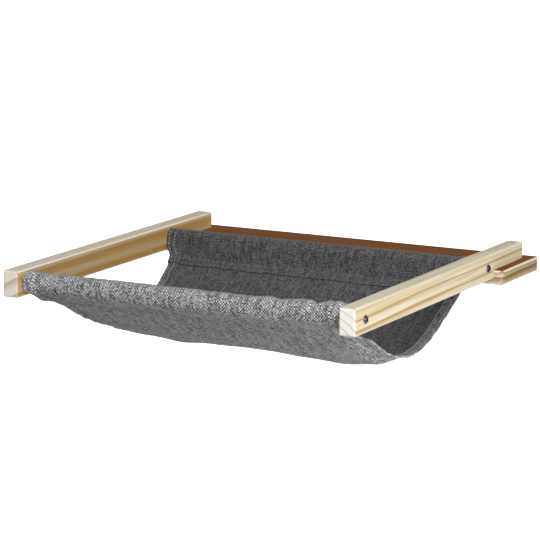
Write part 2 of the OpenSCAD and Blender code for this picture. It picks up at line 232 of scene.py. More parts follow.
@dataclass(frozen=True)
class PlanedPine(Finish):
    """Pine, planed and sanded: pale early wood with tan lines of late wood, silky along the fibres.

    The growth rings lie about the pith, a line through the given point along the grain, which leans a
    little. Ranges named noise give the part of a noise that is used. Depths and shares run from 0 to 1.
    Some of the colour is painted light: a painted sheen on level faces, near-white sawn ends by default,
    and a painted highlight on the eased edges.
    """

    name: str
    # The wood between the lines, in two tones, and the lines
    early: str
    honey: str
    late: str
    # Where the log lay, and how wide and how wavy its rings are
    pith: Triple
    ring: float
    phase: float
    wander: float
    grain: Grain = Grain.ALONG_Y
    lean: Pair = (0.0, 0.0)
    drift: Triple = (45.0, 260.0, 45.0)
    # Radius from which the rings are pale, by default outside any log
    pale_from: float = 1e6
    pale_edge: float = 1.0
    pale_depth: float = 0.3
    # When in its year the wood darkens, how sharply, and how dark it gets in a weak and a strong year
    late_start: float = 0.1
    onset_change: float = 0.0
    onset_noise: Pair = (0.4, 0.6)
    late_full: float = 0.9
    late_stop: float = 0.92
    tail: float = 2.2
    depth: Pair = (0.7, 1.0)
    # How strongly the lines show on upright faces, on level ones and on the sawn ends; set apart by
    # face, these also paint light and shade
    upright_depth: float = 1.0
    level_depth: float = 1.0
    end_depth: float = 0.5
    end_tail: float = 1.0
    end_faces: Pair = (0.6, 0.95)
    # The colours of the sawn ends, near white by default as painted light, a painted sheen on level
    # faces, and a painted highlight on the eased edges
    sawn: str = "#fffdf6"
    sawn_late: str = "#a39a6a"
    sawn_share: float = 0.95
    level_sheen: float = 0.0
    arris_highlight: str = "#f6efe2"
    arris_highlight_share: float = 0.3
    arris_highlight_slope: Pair = (0.55, 0.3)
    # The fibres and the broad streaks of honey
    fibre: Triple = (0.7, 55.0, 0.7)
    fibre_noise: Pair = (0.3, 0.7)
    fibre_tones: Pair = (0.88, 1.05)
    streak: Triple = (5.0, 240.0, 5.0)
    streak_noise: Pair = (0.35, 0.65)
    # Shine and relief
    roughness: float = 0.5
    rough_change: Pair = (-0.1, 0.14)
    specular: float = 0.4
    coat: float = 0.12
    relief: float = 0.12

    def rings(self, add: AddNode, trunk: bpy.types.Node) -> bpy.types.Node:
        """Build the lines of late wood about the pith.

        Args:
            add: Adds a node to the material.
            trunk: Place in the log, whose own Y axis is the pith.

        Returns:
            How dark the wood is, from 0 to 1.
        """
        # The trunk grew unevenly, so the rings wander slowly along it
        slow = add("VectorMath", trunk, per_mm(*self.drift), operation="MULTIPLY")
        drift = add("TexNoise", slow, sockets={"Scale": 1.0, "Detail": 1.5})
        sway = (self.wander * MM, 0.0, self.wander * MM)
        bent = add("VectorMath", drift.outputs["Color"], sway, trunk, operation="MULTIPLY_ADD")
        across = add("VectorMath", bent, (1.0, 0.0, 1.0), operation="MULTIPLY")
        radius = add("VectorMath", across, operation="LENGTH")
        years = add("Math", radius, *per_mm(self.ring), self.phase, operation="MULTIPLY_ADD")
        year = add("Math", years, operation="FLOOR")
        season = add("Math", years, operation="FRACT")
        # Each year's wood darkens slowly to the late wood and stops sharply
        soonest, latest = self.late_start - self.onset_change, self.late_start + self.onset_change
        onset = add("MapRange", drift, *self.onset_noise, soonest, latest)
        rise = add("MapRange", season, onset, self.late_full, interpolation_type="SMOOTHSTEP")
        thin = add("Math", rise, self.tail, operation="POWER")
        stop = add("MapRange", season, self.late_stop, 1.0, 1.0, 0.0)
        line = add("Math", thin, stop, operation="MULTIPLY")
        luck = add("TexWhiteNoise", year, noise_dimensions="1D")
        depth = add("MapRange", luck, 0.0, 1.0, *self.depth)
        grown = add("Math", line, depth, operation="MULTIPLY")
        # Outside some year the trunk grew evenly, so its rings hardly show
        outside = (self.pale_from * MM, (self.pale_from + self.pale_edge) * MM)
        even = add("MapRange", radius, *outside, 1.0, self.pale_depth)
        return add("Math", grown, even, operation="MULTIPLY")

    def shade(self, add: AddNode) -> bpy.types.Node:
        """Build the wood as growth rings that are cut by the piece's faces.

        Args:
            add: Adds a node to the material.

        Returns:
            The shader.
        """
        turn = [math.radians(angle) for angle in self.grain.value]
        turn[0] += math.radians(self.lean[0])
        turn[2] += math.radians(self.lean[1])
        pith = [length * MM for length in self.pith]
        sources = add("TexCoord")
        normal = sources.outputs["Normal"]
        trunk = add("Mapping", sources.outputs["Object"], pith, turn, vector_type="TEXTURE")
        lines = self.rings(add, trunk)
        # Which way the face looks: level faces up or down, and sawn ends along the trunk
        upward = add("SeparateXYZ", normal).outputs["Z"]
        level = add("Math", upward, operation="ABSOLUTE")
        towards = {"Vector": normal, "Rotation": turn}
        facing = add("VectorRotate", sockets=towards, rotation_type="EULER_XYZ", invert=True)
        square = add("Math", add("SeparateXYZ", facing).outputs["Y"], operation="ABSOLUTE")
        end = add("MapRange", square, *self.end_faces)
        # The early wood has broad streaks of honey, and level faces and sawn ends are paler, as a painted
        # sheen and as painted light
        bands = add("VectorMath", trunk, per_mm(*self.streak), operation="MULTIPLY")
        stain = add("TexNoise", bands, sockets={"Scale": 1.0, "Detail": 2.0})
        tone = add("MapRange", stain, *self.streak_noise)
        ground = add("Mix", tone, linear(self.early), linear(self.honey), data_type="RGBA")
        painted_sheen = add("Math", level, self.level_sheen, operation="MULTIPLY")
        sawn = add("Math", end, self.sawn_share, painted_sheen, operation="MULTIPLY_ADD")
        pale = add("Mix", sawn, ground, linear(self.sawn), data_type="RGBA")
        # The lines show more or less by the face that cuts them, which also paints light and shade by face
        late = add("Mix", end, linear(self.late), linear(self.sawn_late), data_type="RGBA")
        side_depth = add("MapRange", level, 0.0, 1.0, self.upright_depth, self.level_depth)
        face_depth = add("Mix", end, side_depth, self.end_depth)
        face_tail = add("MapRange", end, 0.0, 1.0, 1.0, self.end_tail)
        cut = add("Math", lines, face_tail, operation="POWER")
        dark = add("Math", cut, face_depth, operation="MULTIPLY")
        ringed = add("Mix", dark, pale, late, data_type="RGBA")
        # Painted highlight: the eased long edges, found by their slant, are drawn pale
        slant = add("Math", level, *self.arris_highlight_slope, operation="COMPARE")
        worn = add("Math", slant, self.arris_highlight_share, operation="MULTIPLY")
        eased = add("Mix", worn, ringed, linear(self.arris_highlight), data_type="RGBA")
        # Fibres: fine streaks along the trunk, in the colour, the shine and the relief
        drawn = add("VectorMath", trunk, per_mm(*self.fibre), operation="MULTIPLY")
        fibres = add("TexNoise", drawn, sockets={"Scale": 1.0, "Detail": 3.0, "Roughness": 0.6})
        streaks = add("MapRange", fibres, *self.fibre_noise, *self.fibre_tones)
        colour = add("Mix", 1.0, eased, streaks, data_type="RGBA", blend_type="MULTIPLY")
        smoothest, roughest = (self.roughness + change for change in self.rough_change)
        rough = add("MapRange", fibres, 0.0, 1.0, smoothest, roughest)
        height = add("Math", fibres, dark, operation="ADD")
        bump = add("Bump", sockets={"Height": height, "Strength": 0.35, "Distance": self.relief * MM})
        return add(
            "BsdfPrincipled",
            sockets={
                "Base Color": colour, "Roughness": rough, "Normal": bump, "IOR": 1.5,
                "Specular IOR Level": self.specular, "Coat Weight": self.coat, "Coat Roughness": 0.32,
            },
        )


@dataclass(frozen=True)
class HeatherWeave(Finish):
    """Plain weave of spun polyester: light warp over dark weft, mottled along each yarn, dull and fuzzy.

    The yarns are drawn about twice as coarse as they are, so that the weave shows in a picture. Where
    the mesh marks the cloth's back face, the colour is darkened as painted shade.
    """

    name: str = "polyester_heather_weave"
    light: str = "#f0f0f2"
    dark: str = "#2b2c2f"
    pitch: float = 2.0
    # Lengths of the light and dark stretches along warp and weft, and the tones that they reach
    slubs: Pair = (22.0, 8.0)
    warp_tones: Pair = (0.2, 1.0)
    weft_tones: Pair = (0.0, 0.34)
    slub_noise: Pair = (0.33, 0.67)
    crossing_share: float = 0.3
    # Steps in the noise from yarn to yarn and from warp to weft, so that no two are alike
    yarn_step: float = 3.7
    weft_start: float = 40.0
    reverse_and_shade_share: float = 0.24
    # Painted shade in the grooves beside each yarn: where it starts and how dark it gets
    groove_end: float = 0.4
    groove_shade: float = 0.6
    relief: float = 0.45

    def shade(self, add: AddNode) -> bpy.types.Node:
        """Build the weave from the place on the flat cloth that the mesh carries.

        Args:
            add: Adds a node to the material.

        Returns:
            The shader.
        """
        place = add("Attribute", attribute_name=CLOTH_PLACE).outputs["Vector"]
        across, along, reverse = add("SeparateXYZ", place).outputs
        yarn, lie, tone = {}, {}, {}
        for key, socket in (("warp", across), ("weft", along)):
            count = add("Math", socket, 1 / self.pitch, operation="MULTIPLY")
            yarn[key] = add("Math", count, operation="FLOOR")
            part = add("Math", count, operation="FRACT")
            lie[key] = add("Math", part, 0.5, operation="PINGPONG")
        # Which yarn lies on top: every second crossing, and the other yarn on the reverse
        crossing = add("Math", yarn["warp"], yarn["weft"], operation="ADD")
        turn = add("Math", crossing, reverse, operation="ADD")
        weft_up = add("Math", turn, 2.0, operation="FLOORED_MODULO")
        # Each yarn is spun from mixed fibres: it changes along its length and from crossing to crossing
        spot = add("CombineXYZ", yarn["warp"], yarn["weft"], reverse)
        luck = add("TexWhiteNoise", spot)
        for key, run, start, slub, tones in (
            ("warp", along, 0.0, self.slubs[0], self.warp_tones),
            ("weft", across, self.weft_start, self.slubs[1], self.weft_tones),
        ):
            length = add("Math", run, 1 / slub, operation="MULTIPLY")
            row = add("Math", yarn[key], self.yarn_step, start, operation="MULTIPLY_ADD")
            stretch = add("CombineXYZ", length, row)
            spun = add("TexNoise", stretch, sockets={"Scale": 1.0, "Detail": 1.0}, noise_dimensions="2D")
            mixed = add("Mix", self.crossing_share, spun, luck)
            tone[key] = add("MapRange", mixed, *self.slub_noise, *tones)
        top = add("Mix", weft_up, tone["warp"], tone["weft"])
        # Painted shade: where the cloth shows its back face, inside the sling and round the sleeves, it is
        # darkened
        share = add("MapRange", reverse, 0.0, 1.0, 1.0, self.reverse_and_shade_share)
        shown = add("Math", top, share, operation="MULTIPLY")
        colour = add("Mix", shown, linear(self.dark), linear(self.light), data_type="RGBA")
        # A yarn is round: high in its middle and low beside its neighbour, where it is darkened as painted
        # shade
        swell = add("Mix", weft_up, lie["warp"], lie["weft"])
        painted_groove_shade = add("MapRange", swell, 0.0, self.groove_end, self.groove_shade, 1.0)
        shaded = add("Mix", 1.0, colour, painted_groove_shade, data_type="RGBA", blend_type="MULTIPLY")
        bump = add("Bump", sockets={"Height": swell, "Strength": 0.8, "Distance": self.relief * MM})
        return add(
            "BsdfPrincipled",
            sockets={
                "Base Color": shaded, "Normal": bump, "Roughness": 0.85, "IOR": 1.46,
                "Specular IOR Level": 0.3, "Sheen Weight": 0.15, "Sheen Roughness": 0.45,
            },
        )


@dataclass(frozen=True)
class SpunThread(Finish):
    """Polyester sewing thread: two twisted plies, a little shinier than the cloth.

    The slanting bands of the plies are drawn about as long as two stitches, so that they show. wave_turn
    is what the wave texture turns by, in radians, for each unit of its scale.
    """

    name: str = "polyester_spun_thread"
    light: str = "#e2e2e4"
    dark: str = "#9a9b9f"
    band: float = 7.54
    wave_turn: float = 10.0

    def shade(self, add: AddNode) -> bpy.types.Node:
        """Build the thread with the slanting bands of its plies.

        Args:
            add: Adds a node to the material.

        Returns:
            The shader.
        """
        place = add("TexCoord").outputs["Object"]
        scale = 2 * math.pi / self.wave_turn * per_mm(self.band)[0]
        slanting = {"Scale": scale, "Distortion": 1.0}
        plies = add("TexWave", place, sockets=slanting, bands_direction="DIAGONAL").outputs["Fac"]
        colour = add("Mix", plies, linear(self.dark), linear(self.light), data_type="RGBA")
        look = {"Base Color": colour, "Roughness": 0.6, "IOR": 1.5, "Sheen Weight": 0.15}
        return add("BsdfPrincipled", sockets=look)


@dataclass(frozen=True)
class TurnedBeech(Finish):
    """Beech dowel, turned and sanded: even pinkish tan with short dark flecks along the rod."""

    name: str = "beech_turned_dowel"
    ground: str = "#d9bd8e"
    fleck: str = "#9c7445"
    grain: Grain = Grain.ALONG_X
    fleck_size: Triple = (0.5, 5.0, 0.5)
    fleck_noise: Pair = (0.56, 0.72)
    fleck_depth: float = 0.7
    relief: float = 0.1

    def shade(self, add: AddNode) -> bpy.types.Node:
        """Build the wood with its flecks drawn out along the grain.

        Args:
            add: Adds a node to the material.

        Returns:
            The shader.
        """
        turn = [math.radians(angle) for angle in self.grain.value]
        place = {"Vector": add("TexCoord").outputs["Object"], "Rotation": turn}
        trunk = add("Mapping", sockets=place, vector_type="TEXTURE")
        drawn = add("VectorMath", trunk, per_mm(*self.fleck_size), operation="MULTIPLY")
        noise = add("TexNoise", drawn, sockets={"Scale": 1.0, "Detail": 2.0})
        dark = add("MapRange", noise, *self.fleck_noise, 0.0, self.fleck_depth)
        colour = add("Mix", dark, linear(self.ground), linear(self.fleck), data_type="RGBA")
        bump = add("Bump", sockets={"Height": noise, "Strength": 0.2, "Distance": self.relief * MM})
        look = {"Base Color": colour, "Roughness": 0.5, "Normal": bump, "IOR": 1.5}
        return add("BsdfPrincipled", sockets=look)


@dataclass(frozen=True)
class SandedPlug(Finish):
    """Pine plug, glued in and sanded flush: a pale disc of cross grain inside a thin dark line at its rim.

    rim gives the radii between which the wood ends, as shares of the plug's diameter.
    """

    name: str = "pine_plug_sanded"
    wood: str = "#f6eddb"
    vein: str = "#dcc596"
    dark_rim: str = "#8a7048"
    vein_size: Triple = (12.0, 1.2, 12.0)
    rim: Pair = (0.4, 0.46)

    def shade(self, add: AddNode) -> bpy.types.Node:
        """Build the plug from the place on its disc.

        Args:
            add: Adds a node to the material.

        Returns:
            The shader.
        """
        sources = add("TexCoord")
        drawn = add("VectorMath", sources.outputs["Object"], per_mm(*self.vein_size), operation="MULTIPLY")
        veins = add("TexNoise", drawn, sockets={"Scale": 1.0, "Detail": 2.0})
        wood = add("Mix", veins, linear(self.wood), linear(self.vein), data_type="RGBA")
        aside = add("VectorMath", sources.outputs["Generated"], (0.5, 0.5, 0.0), operation="SUBTRACT")
        level = add("VectorMath", aside, (1.0, 1.0, 0.0), operation="MULTIPLY")
        radius = add("VectorMath", level, operation="LENGTH")
        edge = add("MapRange", radius, *self.rim)
        colour = add("Mix", edge, wood, linear(self.dark_rim), data_type="RGBA")
        return add("BsdfPrincipled", sockets={"Base Color": colour, "Roughness": 0.5, "IOR": 1.5})


@dataclass(frozen=True)
class TurnedMetal(Finish):
    """Metal turned on a lathe and plated: fine tool marks and duller patches break up the shine."""

    name: str
    colour: str
    worn: str
    roughness: float = 0.3
    rough_change: Pair = (-0.1, 0.15)
    patch: float = 3.0
    mark: float = 0.35
    relief: float = 0.05

    def shade(self, add: AddNode) -> bpy.types.Node:
        """Build the metal with its tool marks and its duller patches.

        Args:
            add: Adds a node to the material.

        Returns:
            The shader.
        """
        place = add("TexCoord").outputs["Object"]
        patches = add("TexNoise", place, *per_mm(self.patch), sockets={"Detail": 3.0})
        marks = add("TexNoise", place, *per_mm(self.mark))
        colour = add("Mix", patches, linear(self.colour), linear(self.worn), data_type="RGBA")
        smoothest, roughest = (self.roughness + change for change in self.rough_change)
        rough = add("MapRange", patches, 0.0, 1.0, smoothest, roughest)
        bump = add("Bump", sockets={"Height": marks, "Strength": 0.25, "Distance": self.relief * MM})
        look = {"Base Color": colour, "Metallic": 1.0, "Roughness": rough, "Normal": bump}
        return add("BsdfPrincipled", sockets=look)


@dataclass(frozen=True)
class StudioPaper(Finish):
    """Matt studio paper, which glows as if lit from near, more so on the stretch behind the hammock."""

    name: str = "matt_studio_paper"
    colour: str = "#bcbcbb"
    light: str = "#ffffff"
    near: float = 3000.0
    far: float = 4600.0
    glow_near: float = 0.0
    glow_far: float = 0.85
    behind: Triple = (-0.477, 0.879, 0.0)

    def shade(self, add: AddNode) -> bpy.types.Node:
        """Build the paper, which is lit more strongly the further behind it lies.

        Args:
            add: Adds a node to the material.

        Returns:
            The shader.
        """
        place = add("TexCoord").outputs["Object"]
        away = add("VectorMath", place, self.behind, operation="DOT_PRODUCT")
        glow = add(
            "MapRange", away, self.near * MM, self.far * MM, self.glow_near, self.glow_far,
            interpolation_type="SMOOTHSTEP",
        )
        lit = {"Emission Color": linear(self.light), "Emission Strength": glow}
        return add("BsdfPrincipled", sockets={"Base Color": linear(self.colour), "Roughness": 0.9, **lit})


@dataclass(frozen=True)
class StudioCamera:
    """The camera at the photograph's viewing angle, with a point of the hammock at its pixel there."""

    azimuth: float = 28.535
    elevation: float = 11.446
    distance: float = 3620.5
    target: Triple = (0.0, -212.1, 7.0)
    target_px: Pair = (269.52, 281.973)
    focal_px: float = 2771.7
    frame_px: float = 540.0
    sensor: float = 36.0

    def build(self) -> bpy.types.Object:
        """Make the camera and set it as the scene's own.

        Returns:
            The camera.
        """
        right = bearing(self.azimuth + 90.0, 0.0)
        back = bearing(self.azimuth, self.elevation)
        up = back.cross(right)
        per_px = self.distance / self.focal_px
        aside = (self.frame_px / 2 - self.target_px[0]) * per_px
        above = (self.target_px[1] - self.frame_px / 2) * per_px
        place = Vector(self.target) + back * self.distance
        aim = Vector(self.target) + right * aside + up * above
        lens = bpy.data.cameras.new("studio_camera")
        lens.sensor_width = self.sensor
        lens.lens = self.sensor * self.focal_px / self.frame_px
        camera = bpy.data.objects.new("studio_camera", lens)
        camera.location = place * MM
        camera.rotation_euler = (aim - place).to_track_quat("-Z", "Y").to_euler()
        bpy.context.collection.objects.link(camera)
        bpy.context.scene.camera = camera
        return camera


@dataclass(frozen=True)
class SoftBox:
    """A large soft lamp, placed by its angles and its distance from the middle of the sling."""

    name: str
    azimuth: float
    elevation: float
    watts: float
    distance: float
    width: float
    middle: Triple = (0.0, -200.0, 0.0)

    def build(self) -> bpy.types.Object:
        """Make the lamp and turn it to the middle of the sling.

        Returns:
            The lamp.
        """
        way = bearing(self.azimuth, self.elevation)
        light = bpy.data.lights.new(self.name, "AREA")
        light.energy = self.watts
        light.size = self.width * MM
        lamp = bpy.data.objects.new(self.name, light)
        lamp.location = (Vector(self.middle) + way * self.distance) * MM
        lamp.rotation_euler = way.to_track_quat("Z", "Y").to_euler()
        bpy.context.collection.objects.link(lamp)
        return lamp


@dataclass(frozen=True)
class Studio:
    """Pale floor, soft lamps and a surround that is bright at the horizon and dim overhead.

    The key lamp shines on the front and the top from the right, the fill lamp on the right arm's outer
    side, and the low lamp up under the sling. The floor is there for the camera alone, so that every view
    is pale, and a dimmer sheet above it, which isn't seen, throws light back up.
    """

    floor_z: float = -2600.0
    floor_w: float = 80000.0
    floor_paper: StudioPaper = StudioPaper(glow_near=0.7, glow_far=1.05)
    bounce_z: float = -2000.0
    bounce_paper: StudioPaper = StudioPaper("matt_bounce_paper")
    light: str = "#ffffff"
    horizon: float = 0.5
    zenith: float = 0.38
    dimmed: Pair = (0.2, 0.6)
    lamps: tuple[SoftBox, ...] = (
        SoftBox("key_softbox", azimuth=38.0, elevation=30.0, watts=46.0, distance=2600.0, width=1300.0),
        SoftBox("fill_softbox", azimuth=72.0, elevation=4.0, watts=3.2, distance=1200.0, width=500.0),
        SoftBox("low_softbox", azimuth=70.0, elevation=-40.0, watts=1.5, distance=720.0, width=400.0),
    )

    def build(self) -> None:
        """Make the floor, the lamps and the surround."""
        floor = self.lay_paper("studio_floor", self.floor_paper, self.floor_z)
        floor.visible_diffuse = floor.visible_glossy = floor.visible_shadow = False
        bounce = self.lay_paper("studio_bounce", self.bounce_paper, self.bounce_z)
        bounce.visible_camera = False
        for lamp in self.lamps:
            lamp.build()
        self.build_surround()
        bpy.context.scene.view_settings.view_transform = "Standard"

    def lay_paper(self, name: str, paper: StudioPaper, height: float) -> bpy.types.Object:
        """Lay a level sheet of paper under the hammock.

        Args:
            name: Name of the sheet.
            paper: Its finish.
            height: Where it lies.

        Returns:
            The sheet.
        """
        corners = self.floor_w / 2 * np.array([(-1, -1, 0), (1, -1, 0), (1, 1, 0), (-1, 1, 0)])
        sheet = new_piece(name, corners, [[0, 1, 2, 3]])
        sheet.data.materials.append(paper.material())
        sheet.location.z = height * MM
        return sheet

    def build_surround(self) -> None:
        """Make the light that comes from all round."""
        world = bpy.data.worlds.new("studio_surround")
        world.use_nodes = True
        world.node_tree.nodes.clear()
        add = partial(add_node, world.node_tree)
        height = add("SeparateXYZ", add("TexCoord").outputs["Generated"]).outputs["Z"]
        strength = add(
            "MapRange", height, *self.dimmed, self.horizon, self.zenith, interpolation_type="SMOOTHSTEP"
        )
        add("OutputWorld", add("Background", linear(self.light), strength))
        bpy.context.scene.world = world


@dataclass(frozen=True)
class Arms:
    """The two pine arms, each from another log, the left one drawn darker as painted shade, and the plugs
    over their screws.
    """

    right: PlanedPine = PlanedPine(
        "pine_planed_right", early="#e0d6be", honey="#cdbb8a", late="#ac8538", pith=(207.0, -460.0, -23.5),
        lean=(0.8, 0.1), ring=9.5, phase=0.43, wander=5.0, late_start=0.52, onset_change=0.2,
        depth=(0.8, 0.95), level_depth=0.55, level_sheen=0.22, arris_highlight_share=0.3, pale_from=76.0,
    )
    # Painted shade: the left arm's wood is drawn darker and more golden than the right arm's
    left: PlanedPine = PlanedPine(
        "pine_planed_left_shaded", early="#c6b48b", honey="#b79a64", late="#b0843c", pith=(-171.4, -460.0, -97.3),
        lean=(0.2, -0.1), ring=18.0, phase=0.913, wander=2.0, tail=0.9, level_depth=0.3, level_sheen=0.5,
        arris_highlight_share=0.7, sawn="#fdf4e8", end_tail=2.0, end_depth=0.7, pale_from=150.0,
    )
    plug: SandedPlug = SandedPlug()

    def dress(self) -> None:
        """Give the arms their woods, and the plugs wood cut across the grain."""
        give("right_arm", self.right.material())
        give("left_arm", self.left.material())
        wood = self.plug.material()
        for corner in CORNERS:
            give(f"{corner}_plug", wood)


@dataclass(frozen=True)
class BackBoard:
    """The board under the arms: flat-sawn pine, whose top lies in dark late wood, drawn darker as painted
    shade.
    """

    # Painted shade: the late wood on the top is drawn darker than it is, and level faces keep deeper lines
    wood: PlanedPine = PlanedPine(
        "pine_flat_sawn_board", early="#d2c8b2", honey="#b3a07a", late="#7b3f08", pith=(0.0, 20.0, -2448.3),
        grain=Grain.ALONG_X, ring=10.0, phase=0.84, wander=1.0, tail=0.8, depth=(0.97, 1.0),
        upright_depth=0.7, sawn="#b09b6e", sawn_late="#664720", sawn_share=0.75, end_depth=0.75,
        end_tail=1.1, arris_highlight="#efe6d4", arris_highlight_share=0.85, roughness=0.75, specular=0.02, coat=0.0,
    )

    def dress(self) -> None:
        """Give the board its browner wood, with painted shade on its top."""
        give("back_board", self.wood.material())


@dataclass(frozen=True)
class Fixings:
    """Rods, their inserts and bolts, and the screws under the plugs."""

    # Painted reflection: the plated bolt heads are drawn dark grey-purple, as they look where they mirror
    # dark things
    bolt: TurnedMetal = TurnedMetal("steel_plated_painted_dark", "#6d6670", "#4d474f")
    screw: TurnedMetal = TurnedMetal("steel_rolled_zinced", "#bdbab4", "#96938e", roughness=0.36)
    insert: TurnedMetal = TurnedMetal("brass_turned", "#c9a860", "#a3823f")
    rod: TurnedBeech = TurnedBeech()

    def dress(self) -> None:
        """Give every rod and fastener its finish."""
        bolt, screw, insert = (metal.material() for metal in (self.bolt, self.screw, self.insert))
        wood = self.rod.material()
        for end in End:
            give(f"{end.value}_rod", wood)
        for corner in CORNERS:
            give(f"{corner}_rod_bolt", bolt)
            give(f"{corner}_rod_insert", insert)
            give(f"{corner}_board_screw", screw)


@dataclass(frozen=True)
class Ripples:
    """Uneven waves in the cloth, with the range of their lengths and how far they slant."""

    height: float
    shortest: float
    longest: float
    slant: float = 0.0
    count: int = 5

    def rise(self, place: np.ndarray, beside: np.ndarray, seed: int) -> np.ndarray:
        """Height of the waves, the same on each run.

        Args:
            place: Places along the row of waves.
            beside: Places to the side of it, by which slanting waves shift.
            seed: Picks one set of waves.

        Returns:
            Height at each place.
        """
        draw = np.random.default_rng(seed)
        line = place + self.slant * beside
        waves = [
            np.sin(2 * math.pi * (line / draw.uniform(self.shortest, self.longest) + draw.random()))
            for _ in range(self.count)
        ]
        return self.height * sum(waves) / 2


@dataclass(frozen=True)
class Crease:
    """A fold across a sleeve's roll.

    It lies at a place across the cloth and about an angle round the roll, counted from the inside, over
    the top, and leans across by some millimetres for each quarter turn.
    """

    place: float
    width: float
    height: float
    lean: float = 0.0
    about: float = 105.0
    spread: float = 70.0

    def rise(self, across: np.ndarray, angle: np.ndarray) -> np.ndarray:
        """Height of the fold at places across the cloth and round the roll."""
        line = self.place + self.lean * (angle - 90.0) / 90.0
        return self.height * hump(across, line, self.width) * hump(angle, self.about, self.spread)


@dataclass(frozen=True)
class Lift:
    """A stretch of a hem that is drawn up into the sling, or let out where its height is negative.

    Its place is the distance to the rear from the lowest line, its depth how far in it reaches, and its
    inset how far from the edge it is highest.
    """

    side: Side
    place: float
    spread: float
    height: float
    depth: float
    inset: float = 0.0

    def rise(self, across: np.ndarray, ahead: np.ndarray, half_w: float) -> np.ndarray:
        """How far the cloth is drawn up at places across it and along the hammock."""
        line = self.side.value * (half_w - self.inset)
        return self.height * hump(ahead, self.place, self.spread) * hump(across, line, self.depth)


@dataclass(frozen=True)
class Sleeve:
    """One sleeve of the sling, which hangs on its rod by its slack and lets the panel go at an angle.

    leave is degrees below level, handles are shares of the half panel's span that shape its curve, and
    turned gives the angles round the roll between which the cloth goes from its back face, darkened as
    painted shade, to its front face.
    """

    end: End
    slack: float
    leave: float
    handles: Pair
    turned: Pair
    waves: Ripples
    seed: int
    creases: tuple[Crease, ...] = ()
    waves_about: Pair = (100.0, 55.0)
    seat_gap: float = 0.7
    layer: float = 1.4

    @property
    def hand(self) -> float:
        """Sign of the way from this sleeve into the sling, along Y."""
        return 1.0 if self.end is End.FRONT else -1.0

    @property
    def run(self) -> np.ndarray:
        """Direction in which the panel leaves, as (y, z)."""
        angle = math.radians(self.leave)
        return np.array([self.hand * math.cos(angle), -math.sin(angle)])

    @property
    def leave_angle(self) -> float:
        """Angle round the roll at which the panel leaves, from the inside, over the top."""
        return 270.0 - self.leave

    def rod(self) -> tuple[np.ndarray, float]:
        """Take the rod from the frame.

        Returns:
            Its axis as (y, z), and its radius.
        """
        low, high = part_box(f"{self.end.value}_rod")
        axis = np.array([low.y + high.y, low.z + high.z]) / 2 / MM
        return axis, (high.z - low.z) / 2 / MM

    def circle(self) -> tuple[np.ndarray, float]:
        """Centre and radius of the middle of the cloth round the rod."""
        axis, rod_r = self.rod()
        return axis + (self.slack - self.seat_gap) * self.run, rod_r + self.slack + self.layer / 2

    def leaving(self) -> np.ndarray:
        """Point, as (y, z), where the panel leaves the roll."""
        centre, radius = self.circle()
        return centre + radius * self.spoke(np.array(self.leave_angle))

    def spoke(self, angle: np.ndarray) -> np.ndarray:
        """Directions out from the rod, for angles from the inside, over the top."""
        turn = np.radians(angle)
        return np.stack([self.hand * np.cos(turn), np.sin(turn)], axis=-1)

    def clear(self, points: np.ndarray) -> np.ndarray:
        """Push points of the roll out that lie nearer to the rod than the cloth's seat on it.

        Args:
            points: Points as (y, z).

        Returns:
            The same points, clear of the rod.
        """
        axis, rod_r = self.rod()
        away = points - axis
        short = (rod_r + self.layer / 2 + self.seat_gap) / np.linalg.norm(away, axis=-1, keepdims=True)
        return axis + away * np.maximum(short, 1.0)

    def rise(self, across: np.ndarray, angle: np.ndarray) -> np.ndarray:
        """Height of all folds at places across the cloth and round the roll."""
        height = self.waves.rise(across, angle, self.seed) * hump(angle, *self.waves_about)
        return height + sum(crease.rise(across, angle) for crease in self.creases)


@dataclass
class Faces:
    """Both faces of the cloth as grids of points, one row along each line across the sling.

    across and along are places on the flat cloth, the next grid is how far the outer face shows the
    cloth's back face, darkened as painted shade, from 0 to 1, and sewn lists the rows that are stitched.
    """

    outer: np.ndarray
    inner: np.ndarray
    normal: np.ndarray
    across: np.ndarray
    along: np.ndarray
    reverse: np.ndarray
    sewn: list[int]


